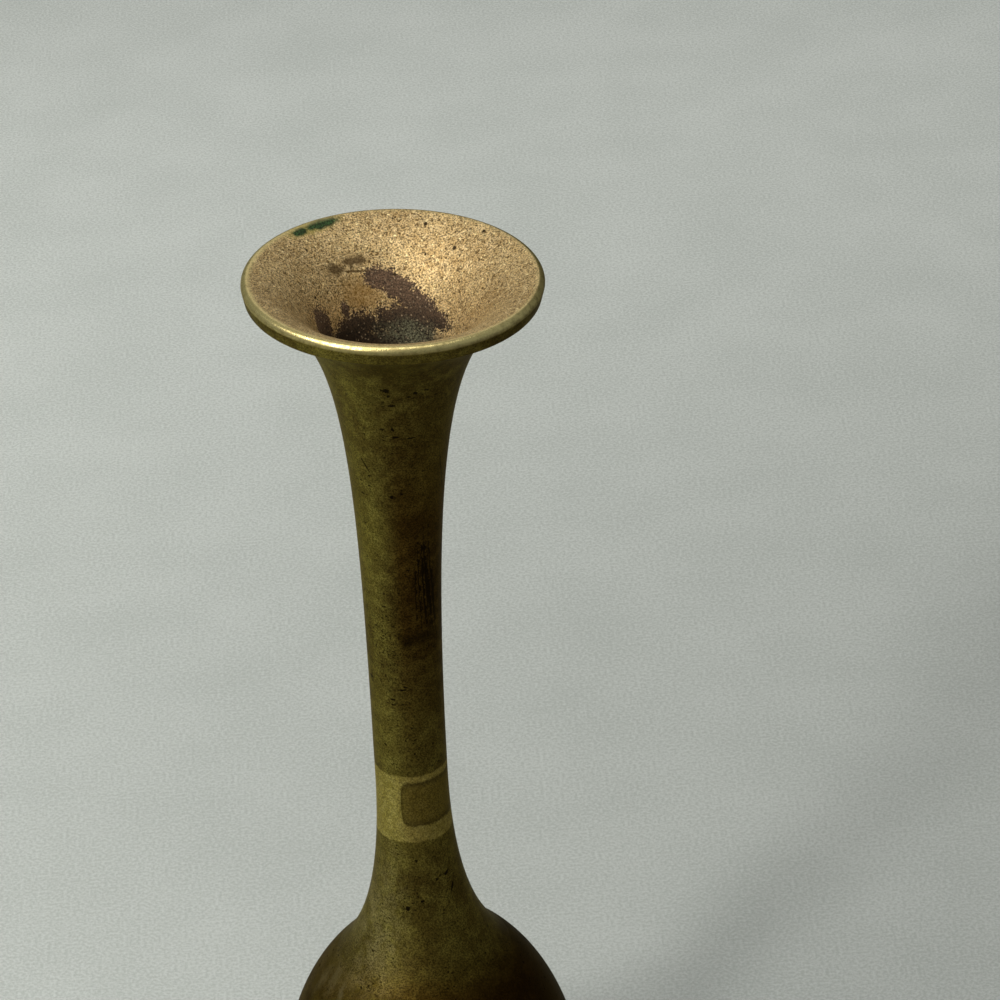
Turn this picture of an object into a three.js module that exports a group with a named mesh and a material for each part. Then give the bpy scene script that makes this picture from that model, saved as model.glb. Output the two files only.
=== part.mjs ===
// Long-necked brass bud vase with a trumpet mouth, a round belly and a foot ring.
// Millimetres, +Z up. The origin is the centre of the foot's underside, and the side
// that faces the viewer is -Y. Every piece is turned about the vase's axis.
import * as THREE from 'three';

// Mouth and lip
const mouthDiameter = 48;
const lipHeight = 3.2;
const lipTaper = 0.5;
const lipNoseRadius = 1;
const brimSlopeDegrees = 14.4;
const brimPull = 0.8;

// Neck, measured along its own axis up from the collar that lies on the body. The collar
// ends flush with the shoulder and in line with it, so the outside runs on without a step.
const neckLength = 130.3;
const neckWall = 1.6;
const waistDiameter = 12.2;
const waistAboveCollar = 42.3;
const waistPullUp = 0.77;
const waistPullDown = 0.23;
const collarDiameter = 30;
const collarPull = 0.32;
const neckBowDegrees = 3.1;

// Body: an upper and a lower bowl that meet at the belly
const bellyDiameter = 52;
const bodyWall = 2;
const upperBowlHalfHeight = 36.5;
const lowerBowlHalfHeight = 30;
const bodyRimDiameter = 33.2;
const lapHeight = 3.5;
const lapThickness = 0.85;

// Socket under the shoulder, and the spigot on the neck that stands in it
const spigotShoulder = 4.4;
const spigotWall = 1.6;
const spigotProjection = 2;
const socketWall = 2;
const socketDrop = 1;

// Foot ring, as steps out from the rim of the body that stands on it, and base disc
const footHeight = 5;
const footLedge = 1.2;
const footSpread = 0.7;
const footHollow = 0.6;
const footEdge = 0.8;
const footWidthUnder = 3.2;
const discThickness = 1.4;
const discOverlap = 1.2;
const discSeatWidth = 1;

// Filler metal left in the joints
const neckFillet = 1.4;
const bellyBeadHeight = 1.3;
const baseFillet = 1.1;

// Clearance between pieces that meet on round faces
const fitGap = 0.3;

// Fineness of the round surfaces
const turns = 40;
const flareSteps = 12;
const rootSteps = 7;
const bowlSteps = 8;
const noseSteps = 3;
const hollowSteps = 4;

// Radius of a bowl at a height from the belly, and the reverse, at a depth under its surface
const bellyRadius = bellyDiameter / 2;
const ellipseShare = (part, whole) => Math.sqrt(1 - (part / whole) ** 2);
const bowlRadius = (height, half, depth) => (bellyRadius - depth) * ellipseShare(height, half - depth);
const bowlHeight = (radius, half, depth) => (half - depth) * ellipseShare(radius, bellyRadius - depth);

// Places worked out from the sizes above
const mouthRadius = mouthDiameter / 2;
const waistRadius = waistDiameter / 2;
const collarRadius = collarDiameter / 2;
const bodyRimRadius = bodyRimDiameter / 2;
const footTopRadius = bodyRimRadius + footLedge;
const discSeatRadius = bodyRimRadius - discOverlap;
const ledgeRadius = discSeatRadius - discSeatWidth;
const discBottom = footHeight - discThickness;
const bellyHeight = footHeight + bowlHeight(bodyRimRadius, lowerBowlHalfHeight, 0);
const collarHeight = bellyHeight + bowlHeight(collarRadius, upperBowlHalfHeight, 0);
const spigotRadius = collarRadius - spigotShoulder;
const spigotBoreRadius = spigotRadius - spigotWall;
const socketRadius = spigotRadius + fitGap;
const socketOuterRadius = socketRadius + socketWall;
const socketBottom = bellyHeight + bowlHeight(socketOuterRadius, upperBowlHalfHeight, bodyWall) - socketDrop;
const spigotBottom = socketBottom - spigotProjection;
const lapInnerRadius = bellyRadius - bodyWall;
const lapOuterRadius = bellyRadius - lapThickness - fitGap;
const lapTop = bellyHeight + lapHeight;
const beadTop = lapTop + bellyBeadHeight;

// Points are pairs of radius and height.
const point = (radius, height) => new THREE.Vector2(radius, height);
const radians = THREE.MathUtils.degToRad;

// A point beside a curve, on the side of the vase's axis, at a given depth under the surface.
function under(curve, share, depth) {
  const place = curve.getPoint(share);
  const along = curve.getTangent(share);
  return point(place.x + along.y * depth, place.y - along.x * depth);
}

// Points along an arc of a circle, from one angle to another.
function arc(centre, radius, fromDegrees, toDegrees, steps) {
  const points = [];
  for (let step = 0; step <= steps; step += 1) {
    const angle = radians(fromDegrees + (toDegrees - fromDegrees) * (step / steps));
    points.push(point(centre.x + radius * Math.cos(angle), centre.y + radius * Math.sin(angle)));
  }
  return points;
}

// A closed outline turned about the axis into one solid ring or shell.
function turned(outline) {
  const closed = [...outline, outline[0].clone()];
  const geometry = new THREE.LatheGeometry(closed, turns);
  geometry.rotateX(Math.PI / 2);
  return geometry;
}

// The neck leans over in an even arc from the collar to the mouth, towards +X.
function bowed(geometry) {
  const bend = radians(neckBowDegrees) / neckLength;
  const places = geometry.attributes.position;
  for (let index = 0; index < places.count; index += 1) {
    const side = places.getX(index);
    const rise = places.getZ(index) - collarHeight;
    if (rise > 0 && bend !== 0) {
      const angle = bend * rise;
      const centreSide = (1 - Math.cos(angle)) / bend;
      const centreRise = Math.sin(angle) / bend;
      places.setX(index, centreSide + side * Math.cos(angle));
      places.setZ(index, collarHeight + centreRise - side * Math.sin(angle));
    }
  }
  return geometry;
}

// Trumpet curve of the mouth, from the lip's lower edge down to the neck's waist.
function flareCurve() {
  const slope = radians(brimSlopeDegrees);
  const lipEdge = point(mouthRadius - lipTaper, neckLength - lipHeight);
  const waist = point(waistRadius, waistAboveCollar);
  const pull = brimPull * (lipEdge.x - waist.x);
  const brimHandle = point(lipEdge.x - pull * Math.cos(slope), lipEdge.y - pull * Math.sin(slope));
  const waistHandle = point(waist.x, waist.y + waistPullUp * (lipEdge.y - waist.y));
  return new THREE.CubicBezierCurve(lipEdge, brimHandle, waistHandle, waist);
}

// Curve of the neck's root, from the waist down to the collar, where it has the slope of
// the shoulder, which is an ellipse.
function rootCurve() {
  const rise = bowlHeight(collarRadius, upperBowlHalfHeight, 0) * bellyRadius ** 2;
  const run = collarRadius * upperBowlHalfHeight ** 2;
  const flare = Math.atan2(rise, run);
  const waist = point(waistRadius, waistAboveCollar);
  const collar = point(collarRadius, 0);
  const pull = collarPull * waistAboveCollar;
  const waistHandle = point(waist.x, waist.y * (1 - waistPullDown));
  const collarHandle = point(collar.x - pull * Math.sin(flare), pull * Math.cos(flare));
  return new THREE.CubicBezierCurve(waist, waistHandle, collarHandle, collar);
}

// Mouth, lip and neck tube, turned from one piece, with a spigot at its lower end.
// The bore follows the outside down to the root, where it is no wider than the spigot's.
function mouthAndNeck() {
  const flare = flareCurve();
  const root = rootCurve();
  const outside = [];
  const inside = [];
  for (let step = 0; step <= flareSteps; step += 1) {
    const share = step / flareSteps;
    const wall = neckWall + (lipHeight - neckWall) * (1 - share) ** 3;
    outside.push(flare.getPoint(share));
    inside.push(under(flare, share, wall));
  }
  for (let step = 1; step <= rootSteps; step += 1) {
    const share = step / rootSteps;
    const inner = under(root, share, neckWall);
    outside.push(root.getPoint(share));
    inside.push(point(Math.min(inner.x, spigotBoreRadius), inner.y));
  }
  const nose = point(mouthRadius - lipNoseRadius, neckLength - lipNoseRadius);
  const outline = [
    ...arc(nose, lipNoseRadius, 90, 0, noseSteps),
    ...outside,
    point(spigotRadius, 0),
    point(spigotRadius, spigotBottom - collarHeight),
    point(spigotBoreRadius, spigotBottom - collarHeight),
    ...inside.reverse(),
  ];
  for (const place of outline) place.y += collarHeight;
  return bowed(turned(outline.reverse()));
}

// Points on a bowl, going up, between two heights measured from the belly.
function bowlPoints(half, depth, lowest, highest) {
  const points = [];
  const start = Math.asin(lowest / (half - depth));
  const end = Math.asin(highest / (half - depth));
  for (let step = 0; step <= bowlSteps; step += 1) {
    const height = (half - depth) * Math.sin(start + (end - start) * (step / bowlSteps));
    points.push(point(bowlRadius(height, half, depth), bellyHeight + height));
  }
  return points;
}

// Upper half of the body, with the socket for the neck and a rebated lower edge.
function upperBody() {
  const half = upperBowlHalfHeight;
  const rebateRadius = lapOuterRadius + fitGap;
  const rebateTop = beadTop + fitGap;
  const socketRoot = bowlHeight(socketOuterRadius, half, bodyWall);
  const outside = bowlPoints(half, 0, 0, collarHeight - bellyHeight);
  const inside = bowlPoints(half, bodyWall, rebateTop - bellyHeight, socketRoot);
  return turned([
    point(rebateRadius, bellyHeight),
    ...outside,
    point(socketRadius, collarHeight),
    point(socketRadius, socketBottom),
    point(socketOuterRadius, socketBottom),
    ...inside.reverse(),
    point(rebateRadius, rebateTop),
  ]);
}

// Lower half of the body, with the lip that laps inside the upper half.
function lowerBody() {
  const half = lowerBowlHalfHeight;
  const rim = footHeight - bellyHeight;
  return turned([
    ...bowlPoints(half, 0, rim, 0),
    point(lapOuterRadius, bellyHeight),
    point(lapOuterRadius, lapTop),
    point(lapInnerRadius, lapTop),
    ...bowlPoints(half, bodyWall, rim, 0).reverse(),
  ]);
}

// Foot ring with a hollowed side, and a ledge inside that carries the base disc.
function footRing() {
  const footRadius = footTopRadius + footSpread;
  const low = point(footRadius, footEdge);
  const hollow = point(footTopRadius - footHollow, (footEdge + footHeight) / 2);
  const top = point(footTopRadius, footHeight);
  const side = new THREE.QuadraticBezierCurve(low, hollow, top);
  return turned([
    point(footRadius - footWidthUnder, 0),
    point(footRadius - footEdge / 2, 0),
    ...side.getPoints(hollowSteps),
    point(discSeatRadius, footHeight),
    point(discSeatRadius, discBottom),
    point(ledgeRadius, discBottom),
    point(ledgeRadius, footEdge),
  ]);
}

// Flat disc that closes the body, held between the foot ring's ledge and the body's rim.
function baseDisc() {
  const radius = discSeatRadius - fitGap;
  const outline = [
    point(0, discBottom),
    point(radius, discBottom),
    point(radius, footHeight),
    point(0, footHeight),
  ];
  return new THREE.LatheGeometry(outline, turns).rotateX(Math.PI / 2);
}

// Fillet of filler metal under the shoulder's socket, round the end of the spigot.
function neckBraze() {
  return turned([
    point(socketRadius, socketBottom - neckFillet),
    point(socketRadius + neckFillet, socketBottom),
    point(socketRadius, socketBottom),
  ]);
}

// Bead of filler metal on top of the lap inside the belly.
function bellyBraze() {
  return turned([
    point(lapInnerRadius, lapTop),
    point(lapOuterRadius, lapTop),
    point(lapOuterRadius, beadTop),
    point(lapInnerRadius, beadTop),
  ]);
}

// Wedge of filler metal on top of the foot ring, in the angle under the body.
function footBraze() {
  const half = lowerBowlHalfHeight;
  const innerRadius = bowlRadius(footHeight - bellyHeight, half, -fitGap);
  const outerTop = bellyHeight - bowlHeight(footTopRadius, half, -fitGap);
  return turned([
    point(innerRadius, footHeight),
    point(footTopRadius, footHeight),
    point(footTopRadius, outerTop),
  ]);
}

// Fillet of filler metal under the base disc, inside the foot ring.
function baseBraze() {
  const outer = ledgeRadius - fitGap;
  return turned([
    point(outer - baseFillet, discBottom),
    point(outer, discBottom - baseFillet),
    point(outer, discBottom),
  ]);
}

// Finishes of the real vase: worn brass that is brighter in the mouth and browner below.
const finishes = {
  neckBrass: { color: 0x8e7636, roughness: 0.45, metalness: 0.9 },
  bodyBrass: { color: 0x6d5b2a, roughness: 0.5, metalness: 0.9 },
  footBrass: { color: 0x7d682f, roughness: 0.5, metalness: 0.9 },
  discBrass: { color: 0x8a7440, roughness: 0.6, metalness: 0.85 },
  filler: { color: 0xa08d5a, roughness: 0.55, metalness: 0.85 },
};

const vase = new THREE.Group();

function addPiece(name, geometry, finish) {
  const mesh = new THREE.Mesh(geometry, new THREE.MeshStandardMaterial(finishes[finish]));
  mesh.name = name;
  vase.add(mesh);
}

addPiece('mouth_and_neck', mouthAndNeck(), 'neckBrass');
addPiece('neck_braze_ring', neckBraze(), 'filler');
addPiece('upper_body', upperBody(), 'bodyBrass');
addPiece('belly_braze_ring', bellyBraze(), 'filler');
addPiece('lower_body', lowerBody(), 'bodyBrass');
addPiece('foot_braze_ring', footBraze(), 'filler');
addPiece('foot_ring', footRing(), 'footBrass');
addPiece('base_disc', baseDisc(), 'discBrass');
addPiece('base_braze_ring', baseBraze(), 'filler');

export default vase;
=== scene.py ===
# %% [markdown]
# A brass bud vase, about 19 cm tall: a trumpet mouth on a long thin neck, a round body and
# a foot ring. Every piece of it was turned on a lathe, so this lesson makes one lathe out of
# Geometry Nodes, feeds it the outline of each piece, and then spends most of its time on
# the finish, because old brass is made of many small marks.

# %% Load the frame and keep its size
import math

import bpy
import numpy as np
from mathutils import Matrix, Vector


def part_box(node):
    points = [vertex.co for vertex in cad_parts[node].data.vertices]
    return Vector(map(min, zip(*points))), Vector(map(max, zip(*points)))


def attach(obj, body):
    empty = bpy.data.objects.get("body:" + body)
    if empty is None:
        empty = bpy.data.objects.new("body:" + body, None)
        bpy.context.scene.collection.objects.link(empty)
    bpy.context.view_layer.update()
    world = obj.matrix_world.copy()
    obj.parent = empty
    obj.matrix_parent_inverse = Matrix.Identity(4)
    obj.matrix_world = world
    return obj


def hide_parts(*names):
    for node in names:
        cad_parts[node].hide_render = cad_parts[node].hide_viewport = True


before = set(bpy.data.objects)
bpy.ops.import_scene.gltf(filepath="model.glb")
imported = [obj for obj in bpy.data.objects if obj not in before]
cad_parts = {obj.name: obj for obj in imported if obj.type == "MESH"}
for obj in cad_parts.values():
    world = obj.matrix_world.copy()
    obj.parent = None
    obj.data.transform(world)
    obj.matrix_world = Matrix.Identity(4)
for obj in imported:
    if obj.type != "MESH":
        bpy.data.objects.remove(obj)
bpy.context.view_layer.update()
scene = bpy.context.scene
scene.view_settings.view_transform = "Standard"
MM = 0.001
print("CAD nodes:", ", ".join(sorted(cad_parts)))

# %% [markdown]
# The photograph looks down on the vase from its front, from rather close to the mouth. The
# place, the long lens and the small roll were found by fitting a camera to the outlines of
# the mouth, the neck and the shoulder. The camera is built from three plain turns: level
# towards +Y, then pitched down, then rolled.

# %% Camera
CAMERA_PLACE = Vector((3.46, -643.9, 528.3)) * MM
CAMERA_YAW = math.radians(1.30)
CAMERA_PITCH = math.radians(30.71)
CAMERA_ROLL = math.radians(3.74)
FOCAL_PIXELS = 4620
IMAGE_PIXELS = 1000

camera_data = bpy.data.cameras.new("camera")
camera_data.sensor_width = 36
camera_data.lens = FOCAL_PIXELS / IMAGE_PIXELS * camera_data.sensor_width
camera_data.clip_start = 0.02
camera = bpy.data.objects.new("camera", camera_data)
scene.collection.objects.link(camera)
camera.matrix_world = (
    Matrix.Translation(CAMERA_PLACE)
    @ Matrix.Rotation(-CAMERA_YAW, 4, "Z")
    @ Matrix.Rotation(math.pi / 2 - CAMERA_PITCH, 4, "X")
    @ Matrix.Rotation(-CAMERA_ROLL, 4, "Z")
)
scene.camera = camera
print(f"lens {camera_data.lens:.1f} mm on a {camera_data.sensor_width:.0f} mm sensor")

# %% [markdown]
# A few small helpers serve the whole script. One reads a colour as designers write it, in
# sRGB hex, and turns it into the linear light that shaders work in. Another adds a node,
# gives it its settings, and links or sets its inputs, so a tree reads as a list of steps. The
# four nodes used most, Math, Vector Math, Map Range and Noise, have short names of their
# own. The last helpers join masks, and lay one tone over another where a mask says.

# %% Helpers for colours, nodes and masks
def colour(code):
    """An sRGB colour such as '#b59a65' as linear red, green, blue and full alpha."""
    parts = [int(code[place : place + 2], 16) / 255 for place in (1, 3, 5)]
    return [p / 12.92 if p <= 0.04045 else ((p + 0.055) / 1.055) ** 2.4 for p in parts] + [1]


def add(tree, kind, inputs=(), **settings):
    """Adds a node and returns its outputs. Inputs go by order in a list or by name in a dict."""
    node = tree.nodes.new(kind)
    for name, value in settings.items():
        setattr(node, name, value)
    sockets = [socket for socket in node.inputs if socket.enabled]
    named = {socket.name: socket for socket in reversed(sockets)}
    if isinstance(inputs, dict):
        pairs = [(named[name], value) for name, value in inputs.items()]
    else:
        pairs = list(zip(sockets, inputs))
    for socket, value in pairs:
        if isinstance(value, bpy.types.NodeSocket):
            tree.links.new(value, socket)
        else:
            socket.default_value = value
    outputs = [socket for socket in node.outputs if socket.enabled]
    return outputs[0] if len(outputs) == 1 else outputs


def number(tree, operation, *values):
    """What a Math node makes of some numbers."""
    return add(tree, "ShaderNodeMath", values, operation=operation)


def vector(tree, operation, *values):
    """What a Vector Math node makes of some vectors."""
    return add(tree, "ShaderNodeVectorMath", values, operation=operation)


def ramp(tree, value, *ends, **settings):
    """A value moved from between two ends to between 0 and 1, or two more ends that follow."""
    return add(tree, "ShaderNodeMapRange", [value, *ends], **settings)


def noise(tree, place, scale, detail, roughness=0.5):
    """A Noise texture's value, and its colour."""
    inputs = {"Vector": place, "Scale": scale, "Detail": detail, "Roughness": roughness}
    return add(tree, "ShaderNodeTexNoise", inputs)


def merged(tree, masks, way):
    """Several masks made one, two at a time, in the way that a Math node calls it."""
    masks = iter(masks)
    whole = next(masks)
    for mask in masks:
        whole = number(tree, way, whole, mask)
    return whole


def times(tree, *masks):
    """Where all of several masks lie, or one at a strength: their product."""
    return merged(tree, masks, "MULTIPLY")


def any_of(tree, masks):
    """Where any of several masks lies, each point taking the strongest."""
    return merged(tree, masks, "MAXIMUM")


def over(tree, under, mask, tone, **settings):
    """A tone laid over another where the mask says, each a hex code or a socket."""
    under, tone = (colour(each) if isinstance(each, str) else each for each in (under, tone))
    return add(tree, "ShaderNodeMix", [mask, under, tone], data_type="RGBA", **settings)


print("brass tan in linear light:", [round(part, 3) for part in colour("#b59a65")])

# %% [markdown]
# The vase stands on a plain pale card that runs on behind it, as a photographer's sweep
# does. The lamps stand in front, so the card is painted paler towards the back, where less
# of their light comes. Matt card has hardly any gloss and a faint unevenness, so two noises
# shade it, soft clouds and fine fibres. The world shows a pale colour to the camera and to
# reflections, because brass mirrors the room it stands in, and gives only a low, even light
# of its own.

# %% Floor and world
FLOOR_REACH = 3.0
CARD_SHADES = ("#cbd3cf", "#e4ebe8")
CLOUD_SCALE, FIBRE_SCALE = 40, 1500
FIBRE_SHARE = 0.85
# How far back in metres, and how pale the card is there
CARD_NEAR, CARD_FAR = (0.08, 0.68), (0.5, 1.18)
WORLD_SHOWN = "#8f9592"
WORLD_LIGHT = 0.12

floor_mesh = bpy.data.meshes.new("floor")
corners = [(x * FLOOR_REACH, y * FLOOR_REACH, 0) for x, y in ((-1, -1), (1, -1), (1, 1), (-1, 1))]
floor_mesh.from_pydata(corners, [], [(0, 1, 2, 3)])
floor = bpy.data.objects.new("floor", floor_mesh)
scene.collection.objects.link(floor)

card = bpy.data.materials.new("matt pale card")
card.use_nodes = True
tree = card.node_tree
tree.nodes.clear()
place = add(tree, "ShaderNodeTexCoord")[3]
clouds = noise(tree, place, CLOUD_SCALE, 4)[0]
fibres = noise(tree, place, FIBRE_SCALE, 3, 0.7)[0]
shade = add(tree, "ShaderNodeMix", [FIBRE_SHARE, clouds, fibres])
shade = ramp(tree, shade, 0.41, 0.59)
tint = over(tree, CARD_SHADES[0], shade, CARD_SHADES[1])
depth = add(tree, "ShaderNodeSeparateXYZ", [place])[1]
paler = ramp(
    tree, depth, CARD_NEAR[0], CARD_FAR[0], CARD_NEAR[1], CARD_FAR[1],
    interpolation_type="SMOOTHSTEP",
)
tint = vector(tree, "SCALE", tint, paler)
relief = add(tree, "ShaderNodeBump", {"Height": fibres, "Distance": 0.0003, "Strength": 0.5})
surface = add(
    tree, "ShaderNodeBsdfPrincipled", {"Base Color": tint, "Roughness": 0.85, "Normal": relief},
)
add(tree, "ShaderNodeOutputMaterial", {"Surface": surface})
floor_mesh.materials.append(card)

world = bpy.data.worlds.new("pale room")
scene.world = world
world.use_nodes = True
tree = world.node_tree
tree.nodes.clear()
rays = {socket.name: socket for socket in add(tree, "ShaderNodeLightPath")}
kinds = ("Is Camera Ray", "Is Glossy Ray", "Is Transmission Ray")
seen = any_of(tree, [rays[kind] for kind in kinds])
even = add(tree, "ShaderNodeBackground", {"Color": colour("#ffffff"), "Strength": WORLD_LIGHT})
shown = add(tree, "ShaderNodeBackground", {"Color": colour(WORLD_SHOWN), "Strength": 1.0})
mixed = add(tree, "ShaderNodeMixShader", [seen, even, shown])
add(tree, "ShaderNodeOutputWorld", {"Surface": mixed})
print("floor and world ready")

# %% [markdown]
# The light in the photograph is soft and comes from high on the left, so the right side of
# the vase falls into brown shadow. One broad lamp up there does that. A smaller one in front
# reaches into the mouth and throws the shadow back to the right, and a weak one overhead
# keeps the back of the funnel bright. Seen from above, the neck mirrors the card round it,
# so a narrow lamp washes the card on the left with light.

# %% Lamps
def lamp(name, place, target, size, watts, tint, spread=180):
    """A square soft lamp at a place, aimed at a target, in metres, with a spread in degrees."""
    data = bpy.data.lights.new(name, "AREA")
    data.size = size
    data.spread = math.radians(spread)
    data.energy = watts
    data.color = colour(tint)[:3]
    light = bpy.data.objects.new(name, data)
    light.location = place
    light.rotation_euler = (Vector(target) - Vector(place)).to_track_quat("-Z", "Y").to_euler()
    scene.collection.objects.link(light)
    return light


MID_NECK = (0, 0, 0.12)
window = lamp("window", (-0.45, -0.26, 1.09), MID_NECK, 0.5, 6.0, "#fffaf2")
front = lamp("front", (-0.62, -0.79, 1.0), MID_NECK, 0.16, 4.5, "#fffcf6")
wash = lamp("wash", (-0.55, -0.1, 0.55), (-0.42, -0.05, 0), 0.4, 1.2, "#fffdf8", spread=80)
overhead = lamp("overhead", (0.05, 0.0, 1.5), MID_NECK, 0.8, 3.2, "#fffcf6")
print("lamps:", window.name, front.name, wash.name, overhead.name)

# %% [markdown]
# The sizes below are those of the drawing that the CAD was made from, in millimetres.
# Heights on the neck are counted from the collar that lies on the body, since the
# neck was turned on its own.

# %% Sizes of the vase
MOUTH_RADIUS, LIP_HEIGHT, LIP_TAPER, LIP_NOSE = 24, 3.2, 0.5, 1
BRIM_SLOPE, BRIM_PULL = math.radians(14.4), 0.8
NECK_LENGTH, NECK_WALL, NECK_BOW = 130.3, 1.6, math.radians(3.1)
WAIST_RADIUS, WAIST_HEIGHT, WAIST_PULL_UP, WAIST_PULL_DOWN = 6.1, 42.3, 0.77, 0.23
COLLAR_RADIUS, COLLAR_PULL = 15, 0.32
BELLY_RADIUS, BODY_WALL, UPPER_HALF, LOWER_HALF, RIM_RADIUS = 26, 2, 36.5, 30, 16.6
SPIGOT_SHOULDER, SPIGOT_WALL, SPIGOT_PROJECTION = 4.4, 1.6, 2
SOCKET_WALL, SOCKET_DROP = 2, 1
LAP_HEIGHT, LAP_THICKNESS, BEAD_HEIGHT = 3.5, 0.85, 1.3
FOOT_HEIGHT, FOOT_LEDGE, FOOT_SPREAD, FOOT_EDGE = 5, 1.2, 0.7, 0.8
FOOT_HOLLOW, FOOT_WIDTH_UNDER = 0.6, 3.2
DISC_THICKNESS, DISC_OVERLAP, DISC_SEAT_WIDTH = 1.4, 1.2, 1
NECK_FILLET, BASE_FILLET = 1.4, 1.1
FIT_GAP = 0.3


def bowl_radius(height, half, depth=0):
    """Radius of a bowl at a height from the belly, at a depth under its surface."""
    return (BELLY_RADIUS - depth) * math.sqrt(1 - (height / (half - depth)) ** 2)


def bowl_height(radius, half, depth=0):
    """Height from the belly at which a bowl has a radius."""
    return (half - depth) * math.sqrt(1 - (radius / (BELLY_RADIUS - depth)) ** 2)


BELLY = FOOT_HEIGHT + bowl_height(RIM_RADIUS, LOWER_HALF)
COLLAR = BELLY + bowl_height(COLLAR_RADIUS, UPPER_HALF)
SPIGOT_RADIUS = COLLAR_RADIUS - SPIGOT_SHOULDER
BORE_RADIUS = SPIGOT_RADIUS - SPIGOT_WALL
SOCKET_RADIUS = SPIGOT_RADIUS + FIT_GAP
SOCKET_OUTER = SOCKET_RADIUS + SOCKET_WALL
SOCKET_BOTTOM = BELLY + bowl_height(SOCKET_OUTER, UPPER_HALF, BODY_WALL) - SOCKET_DROP
SPIGOT_BOTTOM = SOCKET_BOTTOM - SPIGOT_PROJECTION
LAP_INNER = BELLY_RADIUS - BODY_WALL
LAP_OUTER = BELLY_RADIUS - LAP_THICKNESS - FIT_GAP
LAP_TOP = BELLY + LAP_HEIGHT
BEAD_TOP = LAP_TOP + BEAD_HEIGHT
FOOT_TOP_RADIUS = RIM_RADIUS + FOOT_LEDGE
FOOT_RADIUS = FOOT_TOP_RADIUS + FOOT_SPREAD
SEAT_RADIUS = RIM_RADIUS - DISC_OVERLAP
LEDGE_RADIUS = SEAT_RADIUS - DISC_SEAT_WIDTH
DISC_BOTTOM = FOOT_HEIGHT - DISC_THICKNESS
print(f"belly at {BELLY:.2f}, collar at {COLLAR:.2f}, mouth at {COLLAR + NECK_LENGTH:.2f} mm")

# %% [markdown]
# An outline is a closed loop of points, each a radius and a height, drawn going up on the
# outside. Long sweeps are Bezier curves, as a turner's template would be. No turned edge is
# perfectly sharp, so a corner can carry a third number: how far it is eased, in millimetres.

# %% Curves and eased corners
def sweep(start, start_handle, end_handle, end, steps, depth=lambda share: 0.0):
    """Points on a cubic Bezier curve, set in under the surface by a depth."""
    ends = [np.array(point, float) for point in (start, start_handle, end_handle, end)]
    points = []
    for share in np.linspace(0, 1, steps + 1):
        rest = 1 - share
        weights = (rest**3, 3 * rest**2 * share, 3 * rest * share**2, share**3)
        place = sum(weight * point for weight, point in zip(weights, ends))
        pulls = (rest**2, 2 * rest * share, share**2)
        heading = sum(pull * (ends[i + 1] - ends[i]) for i, pull in enumerate(pulls))
        heading /= np.linalg.norm(heading)
        points.append(tuple(place + depth(share) * np.array([heading[1], -heading[0]])))
    return points


def arc(centre, radius, start, end, steps):
    """Points on an arc between two angles in degrees."""
    angles = np.radians(np.linspace(start, end, steps + 1))
    return [(centre[0] + radius * math.cos(a), centre[1] + radius * math.sin(a)) for a in angles]


def eased(outline, steps=4):
    """The outline with each corner that has a third number rounded off by that much."""
    points = []
    for index, point in enumerate(outline):
        if len(point) == 2:
            points.append(point)
            continue
        corner = np.array(point[:2], float)
        before = np.array(outline[index - 1][:2]) - corner
        after = np.array(outline[(index + 1) % len(outline)][:2]) - corner
        start = corner + before / np.linalg.norm(before) * point[2]
        end = corner + after / np.linalg.norm(after) * point[2]
        for share in np.linspace(0, 1, steps + 1):
            rest = 1 - share
            points.append(tuple(rest**2 * start + 2 * rest * share * corner + share**2 * end))
    return points


square = eased([(0, 0), (1, 0, 0.2), (1, 1)])
print("an eased square corner:", [tuple(np.round(point, 2)) for point in square])

# %% [markdown]
# Two template curves shape the neck: the flare, from the lip's lower edge down to the waist,
# and the root, from the waist down to the collar, where it has the shoulder's slope so that
# no step shows. The metal is thick at the lip and thins down the flare to an even wall, so
# the inside of the funnel is the flare's curve set in.

# %% Template curves of the neck
LIP_EDGE = (MOUTH_RADIUS - LIP_TAPER, NECK_LENGTH - LIP_HEIGHT)
WAIST = (WAIST_RADIUS, WAIST_HEIGHT)
brim_pull = BRIM_PULL * (LIP_EDGE[0] - WAIST[0])
flare = (
    LIP_EDGE,
    (LIP_EDGE[0] - brim_pull * math.cos(BRIM_SLOPE),
     LIP_EDGE[1] - brim_pull * math.sin(BRIM_SLOPE)),
    (WAIST[0], WAIST[1] + WAIST_PULL_UP * (LIP_EDGE[1] - WAIST[1])),
    WAIST,
)
collar_pull = COLLAR_PULL * WAIST_HEIGHT
shoulder_rise = bowl_height(COLLAR_RADIUS, UPPER_HALF) * BELLY_RADIUS ** 2
collar_flare = math.atan2(shoulder_rise, COLLAR_RADIUS * UPPER_HALF ** 2)
root = (
    WAIST,
    (WAIST[0], WAIST[1] * (1 - WAIST_PULL_DOWN)),
    (COLLAR_RADIUS - collar_pull * math.sin(collar_flare), collar_pull * math.cos(collar_flare)),
    (COLLAR_RADIUS, 0),
)


def funnel_wall(share):
    """Thickness of the metal at a share of the way down the flare."""
    return NECK_WALL + (LIP_HEIGHT - NECK_WALL) * (1 - share) ** 3


outer_flare = sweep(*flare, 70)
inner_flare = sweep(*flare, 70, funnel_wall)
outer_root = sweep(*root, 30)
inner_root = [(min(r, BORE_RADIUS), h) for r, h in sweep(*root, 24, lambda share: NECK_WALL)]
print(f"narrowest bore {2 * min(r for r, h in inner_flare + inner_root):.1f} mm")

# %% [markdown]
# The lathe is a Geometry Nodes tree. It lays out a grid, with one row for each point of
# the outline and one column for each step of turning, and gives each grid point the place
# of its outline point, turned about the axis. It then writes that place down on the mesh as
# the attribute as_turned, because finishes such as lathe marks belong to the straight piece.
# Last it bows the neck: above the collar, each ring swings about a far-off pivot.

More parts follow.
